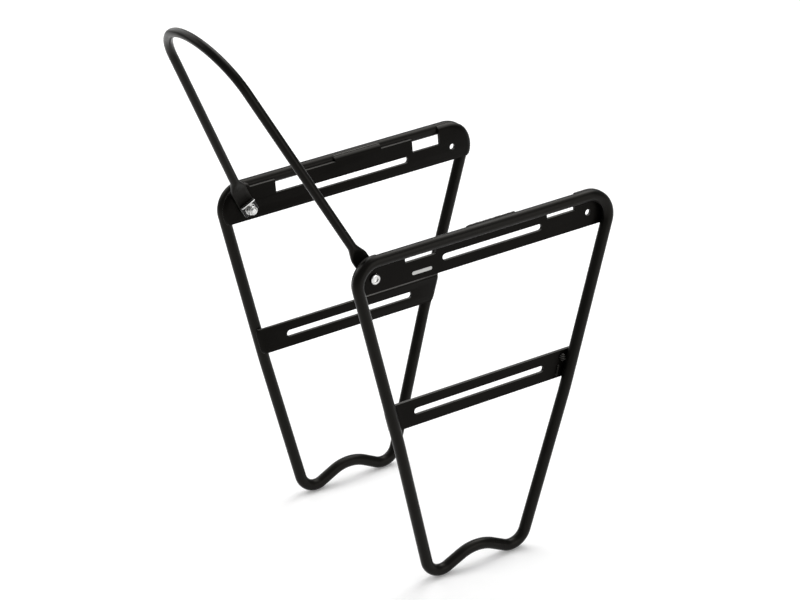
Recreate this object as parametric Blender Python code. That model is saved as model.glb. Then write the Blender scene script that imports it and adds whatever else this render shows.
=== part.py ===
"""Low-rider pannier rack for a bicycle's front wheel, modelled in metres with +Z up.

Two mirror-image side frames stand on the floor. Each is a closed loop of bent round rod with a slotted
plate under its top rail and a slotted cross plate between its legs. One hoop of thinner rod joins them
at the front: its flattened ends pivot on two socket head screws, so that the rack folds.

The object's own axes: X runs across the wheel, with the left side frame at +X; Y runs along the wheel,
with the hoop's end at -Y; Z = 0 is the floor under the feet. The origin is at the box's bottom centre.
"""

import math

import bmesh
import bpy
from mathutils import Vector
from mathutils.geometry import intersect_line_line_2d, tessellate_polygon

MM = 0.001
GAP = 0.3 * MM  # air between pieces that touch on the real rack

# Place of the side frames
BOX_CENTRE_Y = 74.5 * MM  # from the foot line's zero to the middle of the whole rack
FRAME_HALF_SPACING = 109.5 * MM  # wheel centre to rod centre, above the kink

# Side frame: the rod's centre line, in Y and Z
ROD_RADIUS = 5.0 * MM
RAIL_HEIGHT = 298.2 * MM
FRONT_LEG_AT_FLOOR = 38.7 * MM
FRONT_LEG_LEAN = -0.180  # run in Y for each unit of height
REAR_LEG_AT_FLOOR = 128.4 * MM
REAR_LEG_LEAN = 0.3714
HUMP_CORNER = (85.5 * MM, 20.0 * MM)
FRONT_FLANK_SLOPE = 0.46
REAR_FLANK_SLOPE = -0.50
TOP_BEND_RADIUS = 19.0 * MM
HUMP_BEND_RADIUS = 37.0 * MM
KINK_HEIGHT = 135.0 * MM  # below it the legs lean towards the wheel
KINK_BLEND = 8.0 * MM
KINK_SLOPE = 0.0533

# Plates: sheet metal on the wheel side of the rod, with edges that curl round it
SHEET = 3.0 * MM
CURL_END_SHEET = 1.2 * MM  # the curled edges are pressed thinner towards their ends
SHEET_OUTER_RADIUS = ROD_RADIUS + GAP
SHEET_INNER_RADIUS = SHEET_OUTER_RADIUS + SHEET
SHEET_NEUTRAL_RADIUS = SHEET_OUTER_RADIUS + SHEET / 2
SLOT_WIDTH = 6.0 * MM
TOP_PLATE_BOTTOM = 269.2 * MM
FASTENER_LINE = 281.1 * MM  # height of the pivot, the long slot and the rear hole
TOP_SLOT = (72.1 * MM, 169.1 * MM)
REAR_HOLE_Y = 215.0 * MM
REAR_HOLE_RADIUS = 2.75 * MM
NOTCH_BOTTOM = 286.3 * MM
FRONT_NOTCH = (37.0 * MM, 66.4 * MM)
REAR_NOTCH = (174.4 * MM, 202.3 * MM)
MIDDLE_TAB = (97.0 * MM, 143.0 * MM)
FRONT_WRAP_END = 12.5 * MM
FRONT_WRAP_ON_LEG = 2.6 * MM
FRONT_WRAP_ON_RAIL = 4.4 * MM
MIDDLE_WRAP = 4.5 * MM
REAR_WRAP_ON_RAIL = 4.7 * MM
REAR_WRAP_ROUND_BEND = 6.8 * MM
CROSS_PLATE = (143.4 * MM, 166.6 * MM)
CROSS_SLOT = (34.6 * MM, 162.3 * MM)
CROSS_SLOT_HEIGHT = 155.5 * MM
CROSS_WRAP = 3.4 * MM
WRAP_CORNER = 5.0 * MM

# Hoop: in its own plane, with height measured from the pivot axis
PIVOT_Y = 7.7 * MM
HOOP_RADIUS = 3.9 * MM
HOOP_LEAN = math.radians(24.5)  # from upright, towards -Y
HOOP_LEG_ANGLE = math.radians(12.7)  # each leg, towards the other
HOOP_LEG_AT_PIVOT = 101.8 * MM  # half spacing of the legs' lines, carried down to the pivot
HOOP_ARC_HALF_WIDTH = 61.5 * MM
HOOP_ARC_HEIGHT = 48.0 * MM
HOOP_APEX = 219.8 * MM
SPADE_HALF_WIDTH = 7.25 * MM
SPADE_THICKNESS = 3.4 * MM
SPADE_LENGTH = 20.0 * MM
SPADE_TAPER = 12.0 * MM
SPADE_ROUNDNESS = 5.0  # exponent of the flattened section, where 2 is an ellipse
SPADE_BEND_RADIUS = 30.0 * MM

# M5 fasteners
THREAD_RADIUS = 2.5 * MM
CLEARANCE_RADIUS = THREAD_RADIUS + GAP
HEAD_RADIUS = 4.5 * MM
HEAD_HEIGHT = 1.9 * MM
SOCKET_FLATS = 3.8 * MM
SOCKET_DEPTH = 1.5 * MM
SADDLE_THICKNESS = 1.1 * MM
SADDLE_REACH = (-5.0 * MM, 6.6 * MM)
SADDLE_FLANGE = 3.4 * MM
WASHER_THICKNESS = 1.0 * MM
WASHER_RADIUS = 5.0 * MM
NUT_FLATS = 8.0 * MM
NUT_HEX_HEIGHT = 3.5 * MM
NUT_COLLAR_HEIGHT = 1.4 * MM
NUT_COLLAR_RADIUS = 3.85 * MM
NUT_POCKET_RADIUS = 3.45 * MM
NUT_LIP = 0.3 * MM
NYLON_DEPTH = 2.0 * MM
SCREW_TIP_BEYOND_NUT = 1.2 * MM

# Fineness of round shapes
ROD_SIDES = 20
HOOP_SIDES = 20
TURNED_SIDES = 24
BEND_STEP = math.radians(11.0)
WRAP_STEPS = 4
HOLE_SIDES = 20

# Places across the rack, from the plate inwards
PLATE_OUTER_FACE = FRAME_HALF_SPACING - SHEET_OUTER_RADIUS
PLATE_INNER_FACE = FRAME_HALF_SPACING - SHEET_INNER_RADIUS
SPADE_FACE = PLATE_INNER_FACE - GAP
SPADE_CENTRE = SPADE_FACE - SPADE_THICKNESS / 2
SADDLE_FACE = SPADE_FACE - SPADE_THICKNESS - GAP
WASHER_FACE = SADDLE_FACE - SADDLE_THICKNESS - GAP
NUT_FACE = WASHER_FACE - WASHER_THICKNESS - GAP
NUT_END = NUT_FACE - NUT_HEX_HEIGHT - NUT_COLLAR_HEIGHT
NUT_POCKET_FLOOR = NUT_END + NYLON_DEPTH
SCREW_TIP = NUT_END - SCREW_TIP_BEYOND_NUT

UPWARDS = Vector((0.0, 1.0))  # in Y and Z
PIVOT = Vector((0.0, PIVOT_Y - BOX_CENTRE_Y, FASTENER_LINE))
UP_LEG = Vector((0.0, -math.sin(HOOP_LEAN), math.cos(HOOP_LEAN)))
ACROSS_LEG = Vector((0.0, math.cos(HOOP_LEAN), math.sin(HOOP_LEAN)))


def clear_scene():
    for old in list(bpy.data.objects):
        bpy.data.objects.remove(old, do_unlink=True)


def make_material(name, colour, roughness, metallic):
    material = bpy.data.materials.new(name)
    material.use_nodes = True
    shader = material.node_tree.nodes["Principled BSDF"]
    shader.inputs["Base Color"].default_value = (*colour, 1.0)
    shader.inputs["Roughness"].default_value = roughness
    shader.inputs["Metallic"].default_value = metallic
    return material


def add_piece(name, points, faces, material, side=1, smooth_angle=math.radians(32)):
    """One closed solid with its origin on the pivot axis. side -1 makes the mirror image across X."""
    mesh = bpy.data.meshes.new(name)
    local = [Vector((side * p[0], p[1], p[2])) - PIVOT for p in points]
    turned = faces if side > 0 else [tuple(reversed(face)) for face in faces]
    mesh.from_pydata([tuple(p) for p in local], [], [tuple(face) for face in turned])
    mesh.materials.append(material)
    tidy = bmesh.new()
    tidy.from_mesh(mesh)
    bmesh.ops.recalc_face_normals(tidy, faces=tidy.faces)
    tidy.to_mesh(mesh)
    tidy.free()
    mesh.shade_smooth()
    mesh.set_sharp_from_angle(angle=smooth_angle)
    piece = bpy.data.objects.new(name, mesh)
    piece.location = PIVOT
    bpy.context.collection.objects.link(piece)
    return piece


def cut_with(piece, cutter):
    """Takes the cutter's shape out of the piece, and hides the cutter."""
    cutter.hide_render = True
    cutter.display_type = "WIRE"
    cut = piece.modifiers.new("cut", "BOOLEAN")
    cut.operation = "DIFFERENCE"
    cut.solver = "EXACT"
    cut.object = cutter


# Bent rod


def fillet(before, corner, after, radius):
    """Points of the arc that rounds a corner of a flat path."""
    a, b, c = Vector(before), Vector(corner), Vector(after)
    into = (b - a).normalized()
    out = (c - b).normalized()
    turn = into.angle(out)
    centre = b + (out - into).normalized() * radius / math.cos(turn / 2)
    start = b - into * radius * math.tan(turn / 2)
    steps = max(2, math.ceil(turn / BEND_STEP))
    sign = 1.0 if into.x * out.y - into.y * out.x > 0 else -1.0
    arm = start - centre
    points = []
    for step in range(steps + 1):
        angle = sign * turn * step / steps
        cos_a, sin_a = math.cos(angle), math.sin(angle)
        points.append(centre + Vector((arm.x * cos_a - arm.y * sin_a, arm.x * sin_a + arm.y * cos_a)))
    return points


def foot_radius(before, corner, after, height):
    """Bend radius that makes the lowest point of a bend lie at the given height."""
    a, b, c = Vector(before), Vector(corner), Vector(after)
    into = (b - a).normalized()
    out = (c - b).normalized()
    rise = (out - into).normalized().y / math.cos(into.angle(out) / 2)
    return (height - b.y) / (rise - 1.0)


def meet(a, slope_a, b, slope_b):
    """Where two lines cross, each given by a point and a direction in Y and Z."""
    far = 1.0
    return intersect_line_line_2d(
        Vector(a) - Vector(slope_a) * far,
        Vector(a) + Vector(slope_a) * far,
        Vector(b) - Vector(slope_b) * far,
        Vector(b) + Vector(slope_b) * far,
    )


def leg_y(height, at_floor, lean):
    return at_floor + lean * height


def frame_corners():
    """Corners of the loop before bending: top rear, top front, front foot, hump, rear foot."""
    front_leg = ((FRONT_LEG_AT_FLOOR, 0.0), (FRONT_LEG_LEAN, 1.0))
    rear_leg = ((REAR_LEG_AT_FLOOR, 0.0), (REAR_LEG_LEAN, 1.0))
    return [
        Vector((leg_y(RAIL_HEIGHT, REAR_LEG_AT_FLOOR, REAR_LEG_LEAN), RAIL_HEIGHT)),
        Vector((leg_y(RAIL_HEIGHT, FRONT_LEG_AT_FLOOR, FRONT_LEG_LEAN), RAIL_HEIGHT)),
        meet(*front_leg, HUMP_CORNER, (1.0, FRONT_FLANK_SLOPE)),
        Vector(HUMP_CORNER),
        meet(*rear_leg, HUMP_CORNER, (1.0, REAR_FLANK_SLOPE)),
    ]


def frame_bends():
    """One list of arc points for each corner of the loop."""
    corners = frame_corners()
    count = len(corners)
    radii = [TOP_BEND_RADIUS, TOP_BEND_RADIUS, None, HUMP_BEND_RADIUS, None]
    bends = []
    for index, corner in enumerate(corners):
        around = (corners[index - 1], corner, corners[(index + 1) % count])
        radius = radii[index] or foot_radius(*around, ROD_RADIUS)
        bends.append(fillet(*around, radius))
    return bends


def kink_offset(height):
    """How far the rod has moved towards the wheel at a height."""
    depth = KINK_HEIGHT - height
    if depth <= -KINK_BLEND:
        return 0.0
    if depth >= KINK_BLEND:
        return KINK_SLOPE * depth
    return KINK_SLOPE * (depth + KINK_BLEND) ** 2 / (4 * KINK_BLEND)


def kink_points(at_floor, lean):
    """Points down a leg that follow the kink."""
    heights = [KINK_HEIGHT + KINK_BLEND * part for part in (1.0, 0.5, 0.0, -0.5, -1.0)]
    return [Vector((leg_y(height, at_floor, lean), height)) for height in heights]


def frame_centre_line():
    """The loop's centre line as points in X, Y and Z, for the left side."""
    top_rear, top_front, front_foot, hump, rear_foot = frame_bends()
    flat = top_rear + top_front + kink_points(FRONT_LEG_AT_FLOOR, FRONT_LEG_LEAN)
    flat += front_foot + hump + rear_foot
    flat += kink_points(REAR_LEG_AT_FLOOR, REAR_LEG_LEAN)[::-1]
    return [Vector((FRAME_HALF_SPACING - kink_offset(p.y), p.x - BOX_CENTRE_Y, p.y)) for p in flat]


def tube_faces(rings, sides, closed):
    """Quads between rings of points, and end faces where the sweep is open."""
    faces = []
    spans = rings if closed else rings - 1
    for ring in range(spans):
        here, there = ring * sides, ((ring + 1) % rings) * sides
        for k in range(sides):
            after = (k + 1) % sides
            faces.append((here + k, here + after, there + after, there + k))
    if not closed:
        faces.append(tuple(reversed(range(sides))))
        faces.append(tuple(range((rings - 1) * sides, rings * sides)))
    return faces


def side_frame(side, name, material):
    path = frame_centre_line()
    count = len(path)
    points = []
    for index, centre in enumerate(path):
        along = (path[(index + 1) % count] - path[index - 1]).normalized()
        across = Vector((1.0, 0.0, 0.0))
        across = (across - along * across.dot(along)).normalized()
        outward = along.cross(across)
        for k in range(ROD_SIDES):
            angle = 2 * math.pi * k / ROD_SIDES
            points.append(centre + ROD_RADIUS * (across * math.cos(angle) + outward * math.sin(angle)))
    return add_piece(name, points, tube_faces(count, ROD_SIDES, True), material, side)


# Sheet plates


class Sheet:
    """A flat sheet with holes whose edges may curl round the rod. It is drawn once, as points with a
    base in Y and Z, an outward direction, a distance along the curl and how near that is to the curl's
    end, from 0 to 1. It becomes a solid at the end."""

    def __init__(self):
        self.points = []
        self.faces = []

    def add_point(self, base, outward=Vector((0.0, 0.0)), curl=0.0, nearness=0.0):
        self.points.append((Vector(base), outward, curl, nearness))
        return len(self.points) - 1

    def fill(self, outline, holes):
        """Fills the flat part between its outline and its holes, all lists of point numbers."""
        loops = [outline] + holes
        flat = [number for loop in loops for number in loop]
        shapes = [[self.points[n][0].to_3d() for n in loop] for loop in loops]
        for triangle in tessellate_polygon(shapes):
            self.faces.append(tuple(flat[k] for k in triangle))

    def curl_edge(self, base_numbers, outwards, lengths):
        """Adds the strip that curls outwards from an edge. A length of zero closes the strip to a point."""
        columns = []
        for number, outward, length in zip(base_numbers, outwards, lengths):
            column = [number]
            for step in range(1, WRAP_STEPS + 1):
                if length <= 0.0:
                    column.append(number)
                else:
                    base = self.points[number][0]
                    part = step / WRAP_STEPS
                    column.append(self.add_point(base, outward, length * part, part))
            columns.append(column)
        for left, right in zip(columns, columns[1:]):
            for step in range(WRAP_STEPS):
                face = [left[step], right[step], right[step + 1], left[step + 1]]
                unique = list(dict.fromkeys(face))
                if len(unique) > 2:
                    self.faces.append(tuple(unique))

    def surface(self, radius, end_radius):
        """The sheet's points on the face that lies at a radius from the rod's centre."""
        placed = []
        for base, outward, curl, nearness in self.points:
            angle = curl / SHEET_NEUTRAL_RADIUS
            reach = radius + (end_radius - radius) * nearness
            flat = base + outward * reach * math.sin(angle)
            across = FRAME_HALF_SPACING - reach * math.cos(angle)
            placed.append(Vector((across, flat.x - BOX_CENTRE_Y, flat.y)))
        return placed

    def turned_faces(self):
        """The faces, turned so that all of them run the same way round."""
        spread = bmesh.new()
        for base, outward, curl, _ in self.points:
            flat = base + outward * curl
            spread.verts.new((flat.x, flat.y, 0.0))
        spread.verts.ensure_lookup_table()
        spread.verts.index_update()
        for face in self.faces:
            spread.faces.new([spread.verts[n] for n in face])
        bmesh.ops.recalc_face_normals(spread, faces=spread.faces)
        turned = [tuple(vertex.index for vertex in face.verts) for face in spread.faces]
        spread.free()
        return turned

    def solid(self):
        """Points and faces of the sheet at its full thickness."""
        faces = self.turned_faces()
        outer = self.surface(SHEET_OUTER_RADIUS, SHEET_OUTER_RADIUS)
        inner = self.surface(SHEET_INNER_RADIUS, SHEET_OUTER_RADIUS + CURL_END_SHEET)
        shift = len(outer)
        edges = {(a, b) for face in faces for a, b in zip(face, face[1:] + face[:1])}
        rim = [(a, b) for a, b in edges if (b, a) not in edges]
        solid = list(faces)
        solid += [tuple(n + shift for n in reversed(face)) for face in faces]
        solid += [(b, a, a + shift, b + shift) for a, b in sorted(rim)]
        return outer + inner, solid


def round_hole(sheet, centre, radius):
    angles = [2 * math.pi * k / HOLE_SIDES for k in range(HOLE_SIDES)]
    return [sheet.add_point(Vector(centre) + radius * Vector((math.cos(a), math.sin(a)))) for a in angles]


def long_slot(sheet, ends, height):
    radius = SLOT_WIDTH / 2
    half = HOLE_SIDES // 2
    numbers = []
    for centre_y, start in ((ends[1] - radius, -math.pi / 2), (ends[0] + radius, math.pi / 2)):
        for k in range(half + 1):
            angle = start + math.pi * k / half
            spot = Vector((centre_y + radius * math.cos(angle), height + radius * math.sin(angle)))
            numbers.append(sheet.add_point(spot))
    return numbers


def rounded_start(length):
    """Distances along an edge at which a rounded corner of a curl is sampled."""
    steps = 4
    return [length * (1 - math.cos(math.pi / 2 * k / steps)) for k in range(steps + 1)]


def corner_fullness(distance, corner):
    """How much of a curl's full length is there at a distance from its rounded end."""
    if distance >= corner:
        return 1.0
    return math.sqrt(max(0.0, 1 - (1 - distance / corner) ** 2))


def leg_run(at_floor, lean, low, high, heights_from_ends):
    """Points up a leg between two heights, closer together near the given ends."""
    heights = sorted({low + h for h in heights_from_ends[0]} | {high - h for h in heights_from_ends[1]} | {low, high})
    return [Vector((leg_y(height, at_floor, lean), height)) for height in heights]


def leg_outward(lean, facing):
    """Direction away from the loop, square to a leg."""
    return Vector((facing, -facing * lean)).normalized()


def path_outwards(path, ends):
    """Direction away from the loop at each point of an open path that runs with the loop on its right."""
    outwards = []
    for index in range(len(path)):
        before = path[max(0, index - 1)]
        after = path[min(len(path) - 1, index + 1)]
        along = (after - before).normalized()
        outwards.append(Vector((-along.y, along.x)))
    outwards[0], outwards[-1] = ends
    return outwards


def path_lengths(path):
    lengths = [0.0]
    for a, b in zip(path, path[1:]):
        lengths.append(lengths[-1] + (b - a).length)
    return lengths


def front_edge():
    """The top plate's front edge on the rod's centre line: up the front leg, round the bend and along
    the rail, with the length of the curl at each point."""
    bend = list(reversed(frame_bends()[1]))
    leg = leg_run(
        FRONT_LEG_AT_FLOOR, FRONT_LEG_LEAN, TOP_PLATE_BOTTOM, bend[0].y, (rounded_start(WRAP_CORNER), (0.0,))
    )
    rail_samples = [FRONT_WRAP_END - h for h in reversed(rounded_start(WRAP_CORNER))]
    path = leg + bend[1:] + [Vector((y, RAIL_HEIGHT)) for y in rail_samples if y > bend[-1].x]
    curls = []
    run = path_lengths(path)
    for s in run:
        full = FRONT_WRAP_ON_LEG + (FRONT_WRAP_ON_RAIL - FRONT_WRAP_ON_LEG) * s / run[-1]
        curls.append(full * min(corner_fullness(s, WRAP_CORNER), corner_fullness(run[-1] - s, WRAP_CORNER)))
    outwards = path_outwards(path, (leg_outward(FRONT_LEG_LEAN, -1.0), UPWARDS))
    return path, outwards, curls


def rear_edge():
    """The same for the rear edge: from the rear notch along the rail, round the bend and down the leg."""
    bend = list(reversed(frame_bends()[0]))
    leg = leg_run(
        REAR_LEG_AT_FLOOR, REAR_LEG_LEAN, TOP_PLATE_BOTTOM, bend[-1].y, (rounded_start(WRAP_CORNER), (0.0,))
    )
    path = [Vector((REAR_NOTCH[1], RAIL_HEIGHT))] + bend + list(reversed(leg))[1:]
    curls = []
    run = path_lengths(path)
    bend_length = TOP_BEND_RADIUS
    for s in run:
        grown = min(1.0, max(0.0, (s - run[1]) / bend_length))
        full = REAR_WRAP_ON_RAIL + (REAR_WRAP_ROUND_BEND - REAR_WRAP_ON_RAIL) * grown
        curls.append(full * corner_fullness(run[-1] - s, WRAP_CORNER))
    outwards = path_outwards(path, (UPWARDS, leg_outward(REAR_LEG_LEAN, 1.0)))
    return path, outwards, curls


def build_top_plate(side, name, material):
    """Deep plate under the rail. It hugs the front bend, has a middle tab over the rail and wraps the
    rear bend."""
    sheet = Sheet()
    front, front_outwards, front_curls = front_edge()
    rear, rear_outwards, rear_curls = rear_edge()
    front_numbers = [sheet.add_point(p) for p in front]
    notched_edge = [
        (FRONT_NOTCH[0], RAIL_HEIGHT),
        (FRONT_NOTCH[0], NOTCH_BOTTOM),
        (FRONT_NOTCH[1], NOTCH_BOTTOM),
        (FRONT_NOTCH[1], RAIL_HEIGHT),
        (MIDDLE_TAB[0], RAIL_HEIGHT),
        (MIDDLE_TAB[1], RAIL_HEIGHT),
        (REAR_NOTCH[0], RAIL_HEIGHT),
        (REAR_NOTCH[0], NOTCH_BOTTOM),
        (REAR_NOTCH[1], NOTCH_BOTTOM),
    ]
    top_numbers = [sheet.add_point(p) for p in notched_edge]
    rear_numbers = [sheet.add_point(p) for p in rear]
    holes = [
        round_hole(sheet, (PIVOT_Y, FASTENER_LINE), CLEARANCE_RADIUS),
        long_slot(sheet, TOP_SLOT, FASTENER_LINE),
        round_hole(sheet, (REAR_HOLE_Y, FASTENER_LINE), REAR_HOLE_RADIUS),
    ]
    sheet.fill(front_numbers + top_numbers + rear_numbers, holes)
    sheet.curl_edge(front_numbers, front_outwards, front_curls)
    sheet.curl_edge(top_numbers[4:6], [UPWARDS] * 2, [MIDDLE_WRAP] * 2)
    sheet.curl_edge(rear_numbers, rear_outwards, rear_curls)
    points, faces = sheet.solid()
    return add_piece(name, points, faces, material, side)


def build_cross_plate(side, name, material):
    """Slotted strip between the legs, with rounded ends that curl round them."""
    sheet = Sheet()
    low, high = CROSS_PLATE
    samples = rounded_start(WRAP_CORNER)
    front = leg_run(FRONT_LEG_AT_FLOOR, FRONT_LEG_LEAN, low, high, (samples, samples))
    rear = leg_run(REAR_LEG_AT_FLOOR, REAR_LEG_LEAN, low, high, (samples, samples))
    rear.reverse()
    front_numbers = [sheet.add_point(p) for p in front]
    rear_numbers = [sheet.add_point(p) for p in rear]
    sheet.fill(front_numbers + rear_numbers, [long_slot(sheet, CROSS_SLOT, CROSS_SLOT_HEIGHT)])
    for path, numbers, outward in (
        (front, front_numbers, leg_outward(FRONT_LEG_LEAN, -1.0)),
        (rear, rear_numbers, leg_outward(REAR_LEG_LEAN, 1.0)),
    ):
        run = path_lengths(path)
        full = [min(corner_fullness(s, WRAP_CORNER), corner_fullness(run[-1] - s, WRAP_CORNER)) for s in run]
        sheet.curl_edge(numbers, [outward] * len(path), [CROSS_WRAP * f for f in full])
    points, faces = sheet.solid()
    return add_piece(name, points, faces, material, side)


# Hoop


def hoop_centre_line():
    """Half of the hoop in its plane, from the pivot end to the apex: points (half spacing, height)."""
    tan_leg = math.tan(HOOP_LEG_ANGLE)
    arc_base = HOOP_APEX - HOOP_ARC_HEIGHT
    join = math.atan(HOOP_ARC_HEIGHT / HOOP_ARC_HALF_WIDTH * tan_leg)
    arc = []
    steps = 12
    for step in range(steps + 1):
        angle = join + (math.pi / 2 - join) * step / steps
        arc.append(
            Vector((HOOP_ARC_HALF_WIDTH * math.cos(angle), arc_base + HOOP_ARC_HEIGHT * math.sin(angle)))
        )
    bend_height = (HOOP_LEG_AT_PIVOT - SPADE_CENTRE) / tan_leg
    bend = fillet(
        (SPADE_CENTRE, -SPADE_LENGTH), (SPADE_CENTRE, bend_height), arc[0], SPADE_BEND_RADIUS
    )
    tip = [-SPADE_HALF_WIDTH * math.cos(math.pi / 2 * k / 6) for k in range(6)] + [0.0]
    spade = [Vector((SPADE_CENTRE, height)) for height in tip]
    taper = []
    bend_top = bend[-1]
    along = (arc[0] - bend_top).normalized()
    for height in (
        SPADE_LENGTH,
        SPADE_LENGTH + 0.25 * SPADE_TAPER,
        SPADE_LENGTH + 0.5 * SPADE_TAPER,
        SPADE_LENGTH + 0.75 * SPADE_TAPER,
        SPADE_LENGTH + SPADE_TAPER,
    ):
        taper.append(bend_top + along * (height - bend_top.y) / along.y)
    return spade + bend + taper + arc


def hoop_section(height):
    """Half width, half thickness and roundness of the section at a height above the pivot."""
    rounded = min(1.0, max(0.0, (height - SPADE_LENGTH) / SPADE_TAPER))
    rounded = rounded * rounded * (3 - 2 * rounded)
    half_width = SPADE_HALF_WIDTH + (HOOP_RADIUS - SPADE_HALF_WIDTH) * rounded
    if height < 0:
        half_width = math.sqrt(max(0.0, SPADE_HALF_WIDTH**2 - height**2))
    half_width = max(half_width, 0.9 * MM)
    half_thickness = SPADE_THICKNESS / 2 + (HOOP_RADIUS - SPADE_THICKNESS / 2) * rounded
    return half_width, half_thickness, SPADE_ROUNDNESS + (2 - SPADE_ROUNDNESS) * rounded


def power(value, exponent):
    return math.copysign(abs(value) ** exponent, value)


def hoop(name, material):
    half = hoop_centre_line()
    path = half + [Vector((-p.x, p.y)) for p in reversed(half[:-1])]
    points = []
    for index, centre in enumerate(path):
        before = path[max(0, index - 1)]
        after = path[min(len(path) - 1, index + 1)]
        along = (after - before).normalized()
        square = Vector((-along.y, along.x))
        half_width, half_thickness, roundness = hoop_section(centre.y)
        for k in range(HOOP_SIDES):
            angle = 2 * math.pi * k / HOOP_SIDES
            wide = half_width * power(math.cos(angle), 2 / roundness)
            thick = half_thickness * power(math.sin(angle), 2 / roundness)
            flat = centre + square * thick
            spot = PIVOT + UP_LEG * flat.y + ACROSS_LEG * wide
            points.append(Vector((flat.x, spot.y, spot.z)))
    piece = add_piece(name, points, tube_faces(len(path), HOOP_SIDES, False), material)
    for side in (1, -1):
        drill = turned(
            "spade_drill_" + ("left" if side > 0 else "right"),
            [(SPADE_FACE + 2 * MM, CLEARANCE_RADIUS), (SADDLE_FACE - 2 * MM, CLEARANCE_RADIUS)],
            material,
            side,
        )
        cut_with(piece, drill)
    return piece


# Turned and hexagonal fasteners


def hexagon(flats):
    """Radius of a hexagon, as a function of the angle round it."""

    def radius(angle):
        sector = (angle + math.pi / 6) % (math.pi / 3) - math.pi / 6
        return flats / 2 / math.cos(sector)

    return radius


def clipped(shape, limit):
    """A section held inside a circle, as a chamfer does."""
    return lambda angle: min(shape(angle), limit)


def turned(name, sections, material, side, ring=False):
    """A solid round the pivot axis from sections (place across the rack, radius). A radius may be a
    function of the angle. A ring closes its last section on its first instead of having end faces."""
    points = []
    for place, radius in sections:
        for k in range(TURNED_SIDES):
            angle = 2 * math.pi * k / TURNED_SIDES
            reach = radius(angle) if callable(radius) else radius
            spot = PIVOT + ACROSS_LEG * reach * math.cos(angle) + UP_LEG * reach * math.sin(angle)
            points.append(Vector((place, spot.y, spot.z)))
    faces = tube_faces(len(sections), TURNED_SIDES, ring)
    return add_piece(name, points, faces, material, side)


def pivot_screw(side, name, material):
    seat = PLATE_OUTER_FACE + GAP
    crown = seat + HEAD_HEIGHT
    socket = hexagon(SOCKET_FLATS)
    sections = [
        (SCREW_TIP, THREAD_RADIUS - 0.5 * MM),
        (SCREW_TIP + 0.5 * MM, THREAD_RADIUS),
        (seat, THREAD_RADIUS),
        (seat, HEAD_RADIUS),
        (seat + 0.40 * HEAD_HEIGHT, HEAD_RADIUS),
        (seat + 0.75 * HEAD_HEIGHT, 0.93 * HEAD_RADIUS),
        (seat + 0.94 * HEAD_HEIGHT, 0.80 * HEAD_RADIUS),
        (crown, 0.66 * HEAD_RADIUS),
        (crown, socket),
        (crown - SOCKET_DEPTH, socket),
    ]
    return turned(name, sections, material, side)


def saddle(side, name, material):
    """Plate across the spade with an upturned edge that stops the lock nut from turning."""
    low, high = SADDLE_REACH
    near, far = SADDLE_FACE, SADDLE_FACE - SADDLE_THICKNESS
    profile = [
        (near, low),
        (near, high),
        (far - SADDLE_FLANGE, high),
        (far - SADDLE_FLANGE, high - SADDLE_THICKNESS),
        (far, high - SADDLE_THICKNESS),
        (far, low),
    ]
    count = len(profile)
    points = []
    for reach in (-SPADE_HALF_WIDTH, SPADE_HALF_WIDTH):
        for place, height in profile:
            spot = PIVOT + UP_LEG * height + ACROSS_LEG * reach
            points.append(Vector((place, spot.y, spot.z)))
    faces = [tuple(reversed(range(count))), tuple(range(count, 2 * count))]
    for k in range(count):
        after = (k + 1) % count
        faces.append((k, after, after + count, k + count))
    piece = add_piece(name, points, faces, material, side)
    drill = turned(
        name + "_drill",
        [(near + 2 * MM, CLEARANCE_RADIUS), (far - 2 * MM, CLEARANCE_RADIUS)],
        material,
        side,
    )
    cut_with(piece, drill)
    return piece


def washer(side, name, material):
    near, far = WASHER_FACE, WASHER_FACE - WASHER_THICKNESS
    sections = [(near, CLEARANCE_RADIUS), (near, WASHER_RADIUS), (far, WASHER_RADIUS), (far, CLEARANCE_RADIUS)]
    return turned(name, sections, material, side, ring=True)


def lock_nut(side, name, material):
    """Hexagon with a chamfer, and a round collar that holds the nylon ring."""
    body = hexagon(NUT_FLATS)
    shoulder = NUT_FACE - NUT_HEX_HEIGHT
    sections = [
        (NUT_FACE, CLEARANCE_RADIUS),
        (NUT_FACE, clipped(body, 0.53 * NUT_FLATS)),
        (NUT_FACE - 0.5 * MM, body),
        (shoulder + 0.5 * MM, body),
        (shoulder, clipped(body, 0.53 * NUT_FLATS)),
        (shoulder, NUT_COLLAR_RADIUS),
        (NUT_END + NUT_LIP, NUT_COLLAR_RADIUS),
        (NUT_END, NUT_COLLAR_RADIUS - NUT_LIP),
        (NUT_END, NUT_POCKET_RADIUS),
        (NUT_POCKET_FLOOR, NUT_POCKET_RADIUS),
        (NUT_POCKET_FLOOR, CLEARANCE_RADIUS),
    ]
    return turned(name, sections, material, side, ring=True)


def nylon_ring(side, name, material):
    """Ring in the nut's pocket that grips the thread."""
    seat, end = NUT_POCKET_FLOOR - GAP, NUT_END + GAP
    sections = [
        (seat, CLEARANCE_RADIUS),
        (seat, NUT_POCKET_RADIUS - GAP),
        (end, NUT_POCKET_RADIUS - GAP),
        (end, CLEARANCE_RADIUS),
    ]
    return turned(name, sections, material, side, ring=True)


def build():
    clear_scene()
    coat = make_material("black_powder_coat", (0.012, 0.013, 0.012), 0.42, 0.0)
    zinc = make_material("zinc_plated_steel", (0.62, 0.62, 0.60), 0.28, 1.0)
    nylon = make_material("white_nylon", (0.70, 0.70, 0.66), 0.45, 0.0)
    for side, label in ((1, "left"), (-1, "right")):
        side_frame(side, label + "_side_frame_rod", coat)
        build_top_plate(side, label + "_top_plate", coat)
        build_cross_plate(side, label + "_cross_plate", coat)
        pivot_screw(side, label + "_pivot_screw", zinc)
        saddle(side, label + "_saddle_washer", zinc)
        washer(side, label + "_flat_washer", zinc)
        lock_nut(side, label + "_lock_nut", zinc)
        nylon_ring(side, label + "_nut_nylon_ring", nylon)
    hoop("wheel_hoop", coat)


build()
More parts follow.
